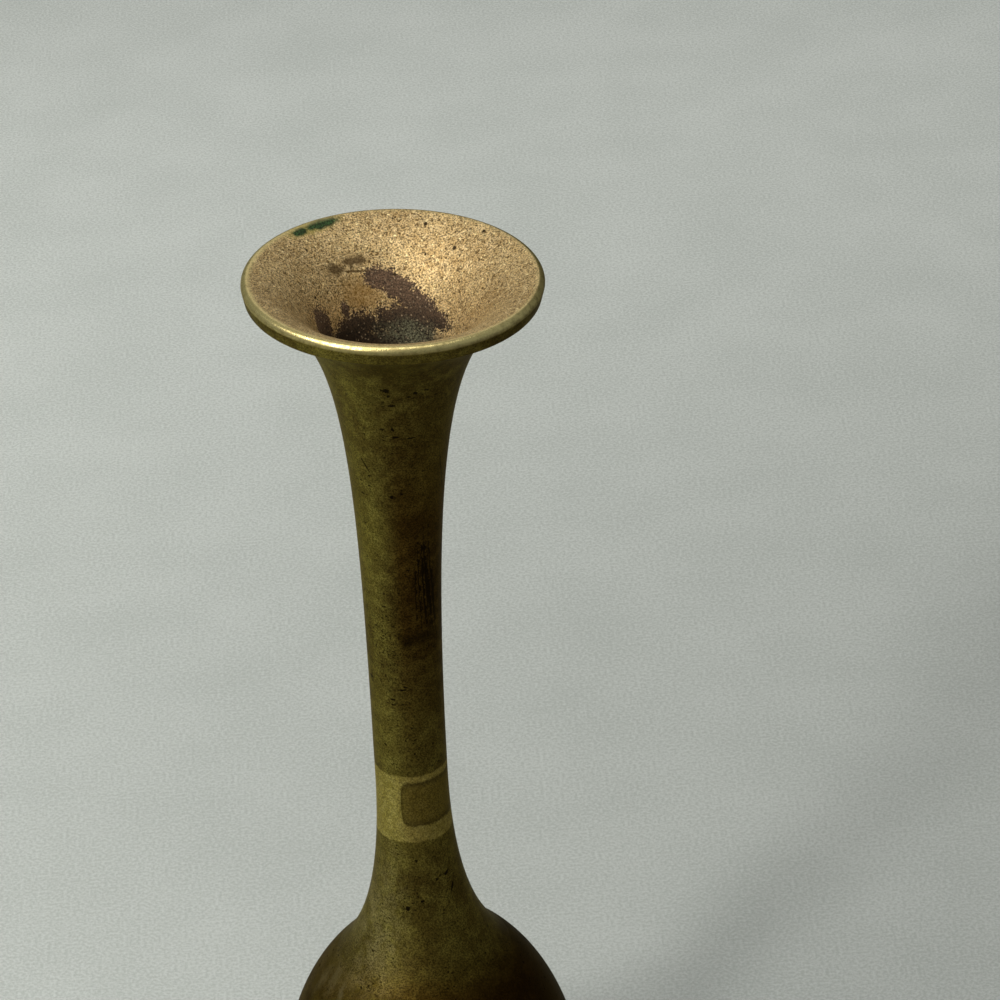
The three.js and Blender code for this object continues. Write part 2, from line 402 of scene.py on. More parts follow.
# %% The lathe, as a Geometry Nodes tree
LATHE_INPUTS = {
    "Outline": "NodeSocketGeometry",
    "Turns": "NodeSocketInt",
    "Rows": "NodeSocketInt",
    "Collar height": "NodeSocketFloat",
    "Bow radius": "NodeSocketFloat",
    "Finish": "NodeSocketMaterial",
}
MERGE_DISTANCE = 0.001 * MM
SHARP_ANGLE = math.radians(38)

lathe = bpy.data.node_groups.new("turned on the lathe", "GeometryNodeTree")
for name, kind in LATHE_INPUTS.items():
    lathe.interface.new_socket(name, in_out="INPUT", socket_type=kind)
lathe.interface.new_socket("Piece", in_out="OUTPUT", socket_type="NodeSocketGeometry")
outline, turns, rows, collar, bow_radius, finish = add(lathe, "NodeGroupInput")[:6]

columns = add(lathe, "FunctionNodeIntegerMath", [turns, 1], operation="ADD")
grid = add(lathe, "GeometryNodeMeshGrid", {"Vertices X": columns, "Vertices Y": rows})[0]
index = add(lathe, "GeometryNodeInputIndex")
column = add(lathe, "FunctionNodeIntegerMath", [index, rows], operation="DIVIDE_FLOOR")
row = add(lathe, "FunctionNodeIntegerMath", [index, rows], operation="MODULO")
count = add(lathe, "GeometryNodeAttributeDomainSize", [outline])[0]
point = add(lathe, "FunctionNodeIntegerMath", [row, count], operation="MODULO")
position = add(lathe, "GeometryNodeInputPosition")
drawn = add(lathe, "GeometryNodeSampleIndex", [outline, position, point], data_type="FLOAT_VECTOR")
share = number(lathe, "DIVIDE", column, turns)
angle = number(lathe, "MULTIPLY", share, math.tau)
spun = add(
    lathe, "ShaderNodeVectorRotate", {"Vector": drawn, "Angle": angle}, rotation_type="Z_AXIS",
)
shell = add(lathe, "GeometryNodeSetPosition", {"Geometry": grid, "Position": spun})
shell = add(
    lathe, "GeometryNodeStoreNamedAttribute",
    {"Geometry": shell, "Name": "as_turned", "Value": position},
    data_type="FLOAT_VECTOR", domain="POINT",
)

x, y, z = add(lathe, "ShaderNodeSeparateXYZ", [position])
above = number(lathe, "SUBTRACT", z, collar)
above = number(lathe, "MAXIMUM", above, 0.0)
lean = number(lathe, "DIVIDE", above, bow_radius)
foot_of_rise = number(lathe, "SUBTRACT", z, above)
start = add(lathe, "ShaderNodeCombineXYZ", [x, y, foot_of_rise])
pivot = add(lathe, "ShaderNodeCombineXYZ", [bow_radius, 0.0, collar])
bowed = add(
    lathe, "ShaderNodeVectorRotate",
    {"Vector": start, "Center": pivot, "Angle": lean}, rotation_type="Y_AXIS",
)
shell = add(lathe, "GeometryNodeSetPosition", {"Geometry": shell, "Position": bowed})

shell = add(lathe, "GeometryNodeMergeByDistance", {"Geometry": shell, "Distance": MERGE_DISTANCE})
shell = add(lathe, "GeometryNodeSetShadeSmooth", {"Geometry": shell, "Shade Smooth": True})
fold = add(lathe, "GeometryNodeInputMeshEdgeAngle")[0]
sharp = add(lathe, "FunctionNodeCompare", [fold, SHARP_ANGLE], operation="GREATER_THAN")
shell = add(
    lathe, "GeometryNodeSetShadeSmooth",
    {"Geometry": shell, "Selection": sharp, "Shade Smooth": False}, domain="EDGE",
)
shell = add(lathe, "GeometryNodeRealizeInstances", {"Geometry": shell})
shell = add(lathe, "GeometryNodeSetMaterial", {"Geometry": shell, "Material": finish})
add(lathe, "NodeGroupOutput", [shell])
LATHE_SOCKETS = {
    item.name: item.identifier for item in lathe.interface.items_tree if item.in_out == "INPUT"
}
print("lathe inputs:", LATHE_SOCKETS)

# %% [markdown]
# A turned piece starts as its outline, a loose polygon in the X-Z plane. The lathe's inputs
# are set by their identifiers before anything is evaluated, the result is read back as a
# plain mesh, and the modifier goes. A disc's outline starts and ends on the axis, so its
# last row isn't joined to its first. The signed volume is printed because it proves that
# the faces point outwards.

# %% Turning one piece
TURNS = 192
BOW_RADIUS = NECK_LENGTH / NECK_BOW


def turned(name, outline, finish, solid_to_axis=False):
    """One piece turned from its outline, with a finish."""
    drawing = bpy.data.meshes.new(name + "_outline")
    places = [(radius * MM, 0, height * MM) for radius, height in eased(outline)]
    drawing.from_pydata(places, [(i, i + 1) for i in range(len(places) - 1)], [])
    piece = bpy.data.objects.new(name, drawing)
    scene.collection.objects.link(piece)
    modifier = piece.modifiers.new("lathe", "NODES")
    modifier.node_group = lathe
    modifier[LATHE_SOCKETS["Turns"]] = TURNS
    modifier[LATHE_SOCKETS["Rows"]] = len(places) + (0 if solid_to_axis else 1)
    modifier[LATHE_SOCKETS["Collar height"]] = COLLAR * MM
    modifier[LATHE_SOCKETS["Bow radius"]] = BOW_RADIUS * MM
    modifier[LATHE_SOCKETS["Finish"]] = finish
    graph = bpy.context.evaluated_depsgraph_get()
    mesh = bpy.data.meshes.new_from_object(piece.evaluated_get(graph))
    piece.modifiers.remove(modifier)
    piece.data = mesh
    mesh.name = name
    bpy.data.meshes.remove(drawing)
    corners = np.array([vertex.co for vertex in mesh.vertices])
    mesh.calc_loop_triangles()
    sides = np.array([triangle.vertices for triangle in mesh.loop_triangles])
    a, b, c = (corners[sides[:, i]] for i in range(3))
    volume = np.einsum("ij,ij->i", a, np.cross(b, c)).sum() / 6
    print(f"{name}: {len(sides)} triangles, {volume * 1e6:.2f} cm3")
    return piece


# %% [markdown]
# The finish is old brass. Clean brass is a yellow metal; with age it grows a thin olive to
# brown skin of oxide, and where water stood it turns dark purple-brown or green. The skin is
# drawn in layers, each at its real size in millimetres: broad drifts of tone, small mottling,
# fine grain, specks, and the faint rings that the turning tool left. Bare metal turns into
# a mirror where it is seen edge on. Oxide does so a little less, so the edge tint is dimmed.

# %% Layers that all the brass shares
EDGE_TINT = "#d6d0c2"
RING_SPACING = 0.45
RELIEF = 0.03


def start_finish(name):
    """A new material, its empty tree, and each point's place on the lathe in millimetres."""
    material = bpy.data.materials.new(name)
    material.use_nodes = True
    tree = material.node_tree
    tree.nodes.clear()
    as_turned = add(tree, "ShaderNodeAttribute", attribute_name="as_turned")[1]
    place = vector(tree, "SCALE", as_turned, 1 / MM)
    return material, tree, place


def oxide_skin(tree, place, tones, drift=18, mottle=2.6):
    """Three tones of oxide: two that drift over centimetres, and a third in small mottles."""
    broad = noise(tree, place, 1 / drift, 3)[0]
    broad = ramp(tree, broad, 0.38, 0.62)
    small = noise(tree, place, 1 / mottle, 7, 0.68)[0]
    small = ramp(tree, small, 0.44, 0.70)
    return over(tree, over(tree, tones[0], broad, tones[1]), small, tones[2])


def spots(tree, place, spacing, radius, share, soft=0.3):
    """Uneven spots of a radius, in a share of cells that are spacing apart, in millimetres."""
    bend = noise(tree, place, 1.2 / radius, 1)[1]
    bend = vector(tree, "SUBTRACT", bend, (0.5, 0.5, 0.5))
    bend = vector(tree, "SCALE", bend, radius * 1.6)
    bent = vector(tree, "ADD", place, bend)
    distance, pick = add(tree, "ShaderNodeTexVoronoi", {"Vector": bent, "Scale": 1 / spacing})[:2]
    chosen = add(tree, "ShaderNodeSeparateColor", [pick])[0]
    chosen = number(tree, "LESS_THAN", chosen, share)
    edge = radius / spacing
    spot = ramp(tree, distance, edge, edge * (1 - soft))
    return times(tree, spot, chosen)


def tool_rings(tree, height):
    """The uneven rings that the turning tool left along the axis."""
    level = add(tree, "ShaderNodeCombineXYZ", [0.0, 0.0, height])
    return noise(tree, level, 1 / RING_SPACING, 3)[0]


def finish_off(tree, material, tint, roughness, metal, height):
    """Joins colour, roughness, metal and relief into the shader."""
    relief = {"Height": height, "Distance": RELIEF * MM, "Strength": 1.0}
    surface = {
        "Base Color": tint, "Roughness": roughness, "Metallic": metal,
        "Normal": add(tree, "ShaderNodeBump", relief), "Specular Tint": colour(EDGE_TINT),
    }
    add(tree, "ShaderNodeOutputMaterial", [add(tree, "ShaderNodeBsdfPrincipled", surface)])
    print(f"{material.name}: {len(tree.nodes)} nodes")
    return material


# %% [markdown]
# Stains are placed as on a real vase, by how far round they are, and how high or how far
# out. A turn of -90 degrees faces the viewer and 90 degrees is the back. On the neck and the
# shoulder a mark is given by its height above the collar, in the funnel by its distance from
# the axis. A blot lies flat on the wall and can be long and tilted; a dot is simpler, and so
# cheap that the neck can have dozens.

# %% Places of stains, and marks with ragged edges
STAIN_DEPTH = 5


def around(radius, height, turn):
    """The point at a radius from the axis and a height above the collar, a turn round."""
    angle = math.radians(turn)
    return radius * math.cos(angle), radius * math.sin(angle), COLLAR + height


def on_neck(height, turn):
    """The centre of a mark on the outside of the neck, and the lean of the wall there."""
    heights, radii = zip(*sorted((h, r) for r, h in outer_flare + outer_root))
    return around(float(np.interp(height, heights, radii)), height, turn), 0


def on_shoulder(height, turn):
    """The centre of a mark on the upper half of the body, and the lean of the wall there."""
    up = COLLAR - BELLY + height
    radius = bowl_radius(up, UPPER_HALF)
    rise = UPPER_HALF ** 2 * radius / (BELLY_RADIUS ** 2 * up)
    return around(radius, height, turn), -math.degrees(math.atan2(1, rise))


def in_funnel(radius, turn):
    """The centre of a mark on the inside of the mouth, and the lean of the wall there."""
    radii, heights = zip(*sorted(inner_flare))
    below, height, above = np.interp((radius - 0.5, radius, radius + 0.5), radii, heights)
    return around(radius, float(height), turn), math.degrees(math.atan2(1, float(above - below)))


def near_marks(tree, reaches, ragged, soft):
    """Where the nearest of several marks reaches, with a ragged and more or less soft edge."""
    reach = merged(tree, reaches, "MINIMUM")
    reach = number(tree, "ADD", reach, ragged)
    return ramp(tree, reach, 1 + soft / 2, 1 - soft / 2)


def blots(tree, place, ragged, where, rows, soft):
    """Stains, each a height or a radius, turn, half width, half height and tilt."""
    def reach(spot, turn, wide, high, tilt):
        centre, lean = where(spot, turn)
        local = add(
            tree, "ShaderNodeMapping",
            {"Vector": place, "Location": centre, "Scale": (STAIN_DEPTH, wide, high),
             "Rotation": [math.radians(angle) for angle in (tilt, lean, turn)]},
            vector_type="TEXTURE",
        )
        return vector(tree, "LENGTH", local)

    return near_marks(tree, (reach(*row) for row in rows), ragged, soft)


def dots(tree, place, ragged, where, rows, flatness, soft=0.4):
    """Dots, each a height or a radius, turn and half width, wider than high by the flatness."""
    squash = (1, 1, flatness)
    place = vector(tree, "MULTIPLY", place, squash)

    def reach(spot, turn, wide):
        centre = [part * by for part, by in zip(where(spot, turn)[0], squash)]
        far = vector(tree, "DISTANCE", place, centre)
        return number(tree, "DIVIDE", far, wide)

    return near_marks(tree, (reach(*row) for row in rows), ragged, soft)


print("a mark at the back of the funnel:", in_funnel(15, 90))

# %% [markdown]
# The outside has the same skin from the lip to the foot. Below the collar it is painted darker,
# as painted shade on the body. The right side is painted darker and browner, partly a browner
# skin and partly painted shade, most of all above the middle of the neck. The left side has
# pale dusty patches round the foot of the neck, partly dust and partly a painted sheen. The
# grain is a little coarser than the real one, which would be too fine to show.

# %% The outside skin
OLIVE_TONES = ("#4f431d", "#625826", "#786f34")
OLIVE_SPECK = "#150e03"
# A tone multiplied into the skin below the collar: painted shade on the body
PAINTED_LOW_SHADE = "#a0917c"
# The first tone is painted shade on the right side, partly a browner skin; the second is pale
# dust, partly a painted sheen
BROWN_AND_SHADE, PALE_DUST_AND_SHEEN = "#aa8f86", "#93885c"
BROWN_SHADE_SIDE, DUST_AND_SHEEN_SIDE = -22, 190
# Height above the collar where the brown and painted shade are deepest, and how far from there
# they are still full, and have faded
BROWN_SHADE_PEAK, BROWN_SHADE_FULL, BROWN_SHADE_FADED = 79, 10, 38
GRAIN_SIZE = 0.27


def fine_grain(tree, place, strength):
    """A factor that wavers around 1 at the size of the grain, and the grain itself."""
    grain = noise(tree, place, 1 / GRAIN_SIZE, 3, 0.65)[0]
    waver = ramp(tree, grain, 0.38, 0.62, 1 - strength, 1 + strength)
    return waver, grain


def one_side(tree, place, turn, start, full):
    """How far the surface is on the side that a turn in degrees faces, from 0 to 1."""
    towards = (math.cos(math.radians(turn)), math.sin(math.radians(turn)), 0)
    flat = vector(tree, "MULTIPLY", place, (1, 1, 0))
    outward = vector(tree, "NORMALIZE", flat)
    side = vector(tree, "DOT_PRODUCT", outward, towards)
    return ramp(tree, side, start, full, interpolation_type="SMOOTHSTEP")


def browned_and_shaded(tree, place, skin):
    """Painted shade on the skin: darker below the collar, and darker, partly browner, on the
    right.
    """
    height = add(tree, "ShaderNodeSeparateXYZ", [place])[2]
    # painted shade: the skin is darker below the collar
    low = ramp(tree, height, COLLAR + 9, COLLAR - 4, interpolation_type="SMOOTHSTEP")
    deep = over(tree, skin, low, PAINTED_LOW_SHADE, blend_type="MULTIPLY")
    away = number(tree, "SUBTRACT", height, COLLAR + BROWN_SHADE_PEAK)
    away = number(tree, "ABSOLUTE", away)
    share = ramp(tree, away, BROWN_SHADE_FADED, BROWN_SHADE_FULL, 0.48, 1.0)
    # painted shade, partly a browner skin: the right side is darker, most of all round that height
    side = times(tree, one_side(tree, place, BROWN_SHADE_SIDE, -0.25, 0.42), any_of(tree, [share, low]))
    return over(tree, deep, side, BROWN_AND_SHADE, blend_type="MULTIPLY")


def dust_and_sheen(tree, place):
    """Where the pale patches lie, partly dust and partly painted sheen: on the left side, below
    the neck's waist.
    """
    height = add(tree, "ShaderNodeSeparateXYZ", [place])[2]
    low = ramp(tree, height, COLLAR + 30, COLLAR + 10)
    patches = noise(tree, place, 1 / 3, 6, 0.7)[0]
    patches = ramp(tree, patches, 0.36, 0.62)
    return times(tree, low, patches, one_side(tree, place, DUST_AND_SHEEN_SIDE, 0.2, 1.0))


def outside_skin(tree, place, tones, speck, strength):
    """Oxide with flecks, grain, pale dust with painted sheen, and painted shade. Also gives flecks
    and grain.
    """
    skin = oxide_skin(tree, place, tones)
    # pale dust on the left side, partly a painted sheen
    skin = over(tree, skin, times(tree, dust_and_sheen(tree, place), 0.55), PALE_DUST_AND_SHEEN)
    squashed = add(tree, "ShaderNodeMapping", {"Vector": place, "Scale": (0.7, 0.7, 1.3)})
    flecks = any_of(tree, [
        spots(tree, squashed, 0.8, 0.19, 0.55), spots(tree, squashed, 2.3, 0.33, 0.45),
    ])
    crowded = noise(tree, place, 1 / 6, 2)[0]
    crowded = ramp(tree, crowded, 0.42, 0.58, 0.25, 0.9)
    flecks = times(tree, flecks, crowded)
    skin = over(tree, skin, times(tree, flecks, 0.9), speck)
    waver, grain = fine_grain(tree, place, strength)
    skin = vector(tree, "SCALE", skin, waver)
    return browned_and_shaded(tree, place, skin), flecks, grain


print("layers for the brass are ready")

# %% [markdown]
# The neck and the mouth are one turned piece with two faces. Outside it is olive brass that
# has gone brown; inside the funnel, where hands and flowers rubbed it, it is a worn golden
# tan with dense brown specks. The side that a point is on shows in its normal: outside, it
# points away from the axis.

# %% Neck and mouth: the skin outside and inside
GOLDEN_TONES = ("#a48a5d", "#b69d6e", "#cab285")
# Pale grains that are partly painted glints, and dark specks
PALE_GRAIN_GLINT, GOLDEN_SPECK = "#ecd8a2", "#5c441f"
GOLDEN_SPECKS = (
    # spacing, radius, share of places that have one
    (0.58, 0.19, 0.60), (1.15, 0.28, 0.50), (4.5, 0.40, 0.35),
)
neck_brass, tree, place = start_finish("aged brass, olive outside and worn golden in the mouth")
x, y, z = add(tree, "ShaderNodeSeparateXYZ", [place])
flat = add(tree, "ShaderNodeCombineXYZ", [x, y, 0.0])
outward = vector(tree, "NORMALIZE", flat)
normal = add(tree, "ShaderNodeTexCoord")[1]
facing = vector(tree, "DOT_PRODUCT", outward, normal)
inside = ramp(tree, facing, 0.35, 0.0)
outside = number(tree, "SUBTRACT", 1.0, inside)

uneven = noise(tree, place, 1 / 1.3, 6, 0.72)[0]
uneven = number(tree, "SUBTRACT", uneven, 0.5)
ragged = times(tree, uneven, 1.3)
tattered = times(tree, uneven, 3.0)

olive, flecks, grain = outside_skin(tree, place, OLIVE_TONES, OLIVE_SPECK, 0.52)
golden = oxide_skin(tree, place, GOLDEN_TONES, drift=9, mottle=1.2)
# pale grains in the funnel, partly painted glints
bright = spots(tree, place, 0.75, 0.24, 0.50, 0.4)
golden = over(tree, golden, times(tree, bright, 0.6), PALE_GRAIN_GLINT)
specks = any_of(tree, [spots(tree, place, *row) for row in GOLDEN_SPECKS])
golden = over(tree, golden, times(tree, specks, 0.85), GOLDEN_SPECK)
waver = fine_grain(tree, place, 0.7)[0]
golden = vector(tree, "SCALE", golden, waver)
crumbly = times(tree, number(tree, "SUBTRACT", grain, 0.5), 1.7)
crumbly = number(tree, "ADD", crumbly, ragged)

# %% [markdown]
# Low in the funnel water stood and dried, and left a dark purple-brown stain that climbs the
# back, black lower down, with clean tongues between its arms. Near the rim two spots have
# turned to verdigris, the green salt of copper, with a yellow fringe, and a little grey-green
# dust lies in the throat. Each stain is a few overlapping blots with ragged edges.

# %% Neck and mouth: stains in the funnel
CRUST_TONES, CRYSTAL = ("#5e4a39", "#2c2116"), "#9d8a70"
TONGUE, SMUDGED, DUST, PIT = "#966f30", "#4f3b20", "#83866a", "#33250f"
VERDIGRIS_TONES, FRINGE = ("#18270f", "#3a5a30"), "#98913f"
# Heights above the collar where the stain fades out, and where it turns black
STAINED_FROM, STAINED_BELOW = 116.8, 114.8
BLACK_FROM, BLACK_BELOW = 121.5, 116.5
# Rows are the distance from the axis, turn, half width, half height and tilt.
WATER_STAIN = (
    (13.35, 97, 2.9, 1.9, 14), (12.5, 85, 3.4, 2.1, 24), (11.4, 69, 4.4, 2.2, 18),
    (10.7, 50, 3.8, 1.7, 8), (10.2, 76, 6.2, 3.3, 0), (10.1, 128, 5.2, 2.9, -4),
    (11.5, 130, 0.8, 1.5, 0), (11.5, 164, 2.7, 3.6, 10),
)
SMUDGE = (
    (15.0, 125.5, 1.5, 0.9, 0), (15.5, 112.0, 1.9, 1.0, 0), (14.35, 113.0, 1.9, 0.16, 12),
)
VERDIGRIS = ((22.2, 119, 3.0, 1.15, 0), (22.0, 130.5, 1.4, 0.8, 0))
FUNNEL_PITS = (
    (20.5, 73, 0.28, 0.42, 0), (21.7, 45.6, 0.24, 0.34, 0), (17.6, 54, 0.30, 0.40, 0),
    (13.6, 87, 0.26, 0.20, 0), (13.7, 153, 0.30, 0.22, 0), (11.2, 38, 0.25, 0.20, 0),
    (16.0, 69, 0.18, 0.22, 0), (18.9, 135, 0.22, 0.26, 0),
)
stain = blots(tree, place, crumbly, in_funnel, WATER_STAIN, 0.25)
waterline = number(tree, "ADD", z, tattered)
deep = ramp(tree, waterline, COLLAR + STAINED_FROM, COLLAR + STAINED_BELOW)
water_stain = times(tree, any_of(tree, [stain, deep]), inside)
black = ramp(tree, waterline, COLLAR + BLACK_FROM, COLLAR + BLACK_BELOW)
crust = over(tree, CRUST_TONES[0], black, CRUST_TONES[1])
crystals = spots(tree, place, 0.5, 0.16, 0.40)
crust = over(tree, crust, times(tree, crystals, 0.65), CRYSTAL)
crust = vector(tree, "SCALE", crust, waver)
golden = over(tree, golden, water_stain, crust)

tongue = blots(tree, place, ragged, in_funnel, [(12.3, 113, 2.9, 2.6, 0)], 1.2)
unstained = number(tree, "SUBTRACT", 1.0, water_stain)
golden = over(tree, golden, times(tree, tongue, unstained, 0.5), TONGUE)
smudge = blots(tree, place, tattered, in_funnel, SMUDGE, 0.8)
golden = over(tree, golden, times(tree, smudge, 0.85), SMUDGED)
dust = blots(tree, place, tattered, in_funnel, [(9.6, 72, 3.6, 1.9, 0)], 1.4)
dust_grain = ramp(tree, grain, 0.42, 0.62)
golden = over(tree, golden, times(tree, dust, dust_grain, 0.7), DUST)

fringe = blots(tree, place, ragged, in_funnel, [(22.1, 124, 4.6, 1.3, 0)], 0.9)
golden = over(tree, golden, times(tree, fringe, 0.6), FRINGE)
verdigris = times(tree, blots(tree, place, ragged, in_funnel, VERDIGRIS, 0.5), inside)
greens = ramp(tree, grain, 0.48, 0.62)
greens = over(tree, VERDIGRIS_TONES[0], greens, VERDIGRIS_TONES[1])
golden = over(tree, golden, verdigris, greens)
holes = blots(tree, place, ragged, in_funnel, FUNNEL_PITS, 0.5)
golden = over(tree, golden, holes, PIT)

# %% [markdown]
# Outside, a strip of tape once went round the lower neck and kept the air off, so a clean
# yellow band was left when it came off. Where its end lay over itself, a rounded patch is as
# brown as the rest, with a clean rim above and below. The patch is a squarish oval: its two
# distances from the middle, each raised to a power, add up to 1 at its edge.

# %% Neck and mouth: the band outside
BAND_TONES, BAND_SPECK = ("#867a3a", "#968847", "#a79b58"), "#4a3b18"
PATCH_TONES = ("#665823", "#3c300f")
BAND_LOW, BAND_HIGH = COLLAR + 26.3, COLLAR + 39.3
BAND_EDGE = 0.15
PATCH_LOW, PATCH_HIGH = COLLAR + 29.4, COLLAR + 38.1
PATCH_LEFT, PATCH_RIGHT = math.radians(-110), math.radians(10)
PATCH_POWERS = (14, 3.4)
level = number(tree, "ADD", z, times(tree, uneven, 0.9))
above = ramp(tree, level, BAND_LOW - BAND_EDGE, BAND_LOW + BAND_EDGE)
below = ramp(tree, level, BAND_HIGH + BAND_EDGE, BAND_HIGH - BAND_EDGE)
band = times(tree, above, below)
clean = oxide_skin(tree, place, BAND_TONES, drift=8, mottle=1.4)
clean = over(tree, clean, times(tree, flecks, 0.6), BAND_SPECK)
softer = number(tree, "MULTIPLY_ADD", waver, 0.6, 0.4)
clean = vector(tree, "SCALE", clean, softer)
turn = number(tree, "ARCTAN2", y, x)
across = ramp(tree, turn, PATCH_LEFT, PATCH_RIGHT, -1.0, 1.0, clamp=False)
up = ramp(tree, level, PATCH_LOW, PATCH_HIGH, -1.0, 1.0, clamp=False)
powers = []
for distance, power in zip((across, up), PATCH_POWERS):
    distance = number(tree, "ABSOLUTE", distance)
    powers.append(number(tree, "POWER", distance, power))
reach = number(tree, "ADD", *powers)
patch = ramp(tree, reach, 1.25, 0.85)
rim = ramp(tree, reach, 0.25, 0.8)
patch_tone = over(tree, PATCH_TONES[0], rim, PATCH_TONES[1])
patch_tone = vector(tree, "SCALE", patch_tone, softer)
clean = over(tree, clean, times(tree, patch, 0.8), patch_tone)
# the clean band also gets the painted shade and brown of the right side
olive = over(tree, olive, band, browned_and_shaded(tree, place, clean))

# %% [markdown]
# Higher up the neck a few drips ran down and stopped at a level line, and left dark threads.
# Dirt sits in scattered spots and short scratches, most of them under the lip and near the
# collar, and here and there the brass is pitted in small crowds of dots.

# %% Neck and mouth: drips and dirt outside
DIRT = "#110a03"
# Rows are the height above the collar, turn, half width, half height and tilt.
DRIPS = (
    (76, -71, 0.1, 7, 0), (77, -66, 0.12, 8.5, 2), (76, -58.5, 0.2, 9.5, 3),
    (77.5, -54, 0.28, 9, 4), (75, -49.5, 0.24, 8.5, 5), (77, -45, 0.16, 9.5, 5),
    (73, -40, 0.22, 7.5, 5),
)
SCRATCHES = (
    (99.9, -128.5, 1.2, 0.14, -59), (97, -31, 5.3, 0.1, -75),
    (19.2, -48, 0.85, 0.24, 38), (16, -44, 0.85, 0.22, 62),
)
PITTED = (
    (14.8, -108, 2.6, 2.4, 0), (17.5, -52, 1.7, 2.8, 0), (41.1, -114.5, 0.9, 0.9, 0),
    (66.5, -120, 3.6, 8.5, 0),
)
STOP_LINE = ((65.8, -86.5, 1.3, 1.2, 0), (66.6, -58, 3, 0.9, 4))
# Rows are the height above the collar, turn and half width.
ROUND_DIRT = (
    (116.4, -98.5, 0.48), (116.4, -101.5, 0.22), (115.1, -97, 0.28), (115.5, -76, 0.42),
    (108, -94.5, 0.36), (98, -125.5, 0.25), (94.4, -99, 0.34), (95, -87.5, 0.25),
    (56.2, -118, 0.2), (49, -85, 0.24), (46.6, -96, 0.2), (45.2, -132, 0.24),
    (43.8, -83, 0.2), (22.7, -91.5, 0.26), (18.6, -64.5, 0.28), (15.2, -87.5, 0.28),
    (13.9, -105.5, 0.46), (43.8, -127, 0.2),
)
FLAT_DIRT = (
    (113, -94, 0.7), (114.8, -81, 0.4), (115.8, -67, 0.5), (114.1, -57.5, 0.42),
    (106.4, -93, 0.55), (106, -77, 0.62), (96, -126, 0.42), (96.5, -138, 0.36),
    (57.5, -157.5, 0.8), (57.1, -91.5, 0.42), (56.6, -97, 0.7), (54.6, -113.5, 0.45),
    (53.6, -112, 0.4), (46.6, -81.5, 0.34),
)
wander = vector(tree, "MULTIPLY_ADD", uneven, (1.1, 1.1, 0), place)
drips = blots(tree, wander, tattered, on_neck, DRIPS, 0.5)
dirt = any_of(tree, [
    blots(tree, place, tattered, on_neck, SCRATCHES, 0.4),
    dots(tree, wander, crumbly, on_neck, ROUND_DIRT, 1),
    dots(tree, wander, crumbly, on_neck, FLAT_DIRT, 3),
])
threads = add(tree, "ShaderNodeMapping", {"Vector": wander, "Scale": (3.2, 3.2, 0.2)})
threads = noise(tree, threads, 1.0, 2)[0]
threads = ramp(tree, threads, 0.50, 0.60)
run_down = blots(tree, place, tattered, on_neck, [(76, -52, 2.2, 9.5, 4)], 0.6)
run_down = times(tree, threads, run_down)
pits = spots(tree, place, 0.52, 0.20, 0.75)
pits = times(tree, pits, blots(tree, place, tattered, on_neck, PITTED, 1.2))
stop_line = blots(tree, place, tattered, on_neck, STOP_LINE, 1.2)
strengths = ((drips, 0.9), (dirt, 0.95), (run_down, 0.75), (pits, 0.85), (stop_line, 0.6))
dark = any_of(tree, [times(tree, mask, strength) for mask, strength in strengths])
olive = over(tree, olive, dark, DIRT)

# %% [markdown]
# What the light does: rubbed brass is smooth and mostly metal, while stains and verdigris
# are dull crusts that are hardly metal at all. The top of the lip is painted pale, most of
# all on the front left, partly rubbed bright by hands and partly a painted highlight. The
# turning tool left rings a few tenths of a millimetre apart, which show as faint lines.

# %% Neck and mouth: gloss and relief
LIP_TOP = COLLAR + NECK_LENGTH
# A pale tone on the lip's top: partly rubbed brass and partly a painted highlight
RUBBED_HIGHLIGHT, RUBBED_HIGHLIGHT_SIDE = "#ead695", -125
ROUGH_OUTSIDE, ROUGH_INSIDE, ROUGH_CRUST, ROUGH_RUBBED = 0.56, 0.55, 0.75, 0.26
RING_HEIGHT, SPECK_DEPTH = 0.2, 0.4
brass = over(tree, olive, inside, golden)
top = ramp(tree, z, LIP_TOP - 1.3, LIP_TOP - 0.4)
radius = vector(tree, "LENGTH", flat)
edge = ramp(tree, radius, MOUTH_RADIUS - 1.7, MOUTH_RADIUS - 1.0)
worn = ramp(tree, uneven, -0.32, 0.05)
handled_and_lit = one_side(tree, place, RUBBED_HIGHLIGHT_SIDE, -0.6, 0.3)
handled_and_lit = ramp(tree, handled_and_lit, 0.0, 1.0, 0.25, 1.0)
# painted highlight, partly real rubbing: the lip's top is paler, most of all on the front left
rubbed = times(tree, top, edge, worn, handled_and_lit)
brass = over(tree, brass, times(tree, rubbed, 0.9), RUBBED_HIGHLIGHT)
rings = tool_rings(tree, z)
dull = any_of(tree, [water_stain, verdigris])
metal = ramp(tree, inside, 0.0, 1.0, 1.0, 0.5)
bare = ramp(tree, dull, 0.0, 1.0, 1.0, 0.25)
rough = ramp(tree, inside, 0.0, 1.0, ROUGH_OUTSIDE, ROUGH_INSIDE)
rough = add(tree, "ShaderNodeMix", [dull, rough, ROUGH_CRUST])
rough = add(tree, "ShaderNodeMix", [rubbed, rough, ROUGH_RUBBED])
marks = add(tree, "ShaderNodeMix", [inside, flecks, specks])
height = times(tree, rings, outside, RING_HEIGHT)
for hollow in (times(tree, marks, SPECK_DEPTH), times(tree, holes, inside)):
    height = number(tree, "SUBTRACT", height, hollow)
height = number(tree, "ADD", height, grain)
finish_off(tree, neck_brass, brass, rough, times(tree, metal, bare), height)

# %% [markdown]
# The body has the neck's own tones, so the finish runs on over the joint, with a few pale
# scuffs on one shoulder. The foot is rubbed brighter, the disc is duller, and the filler in
# the joints is a paler brass that was melted in and never polished. These three lie below
# the collar, where the skin is painted darker as painted shade, so their tones are written
# lighter than they show.

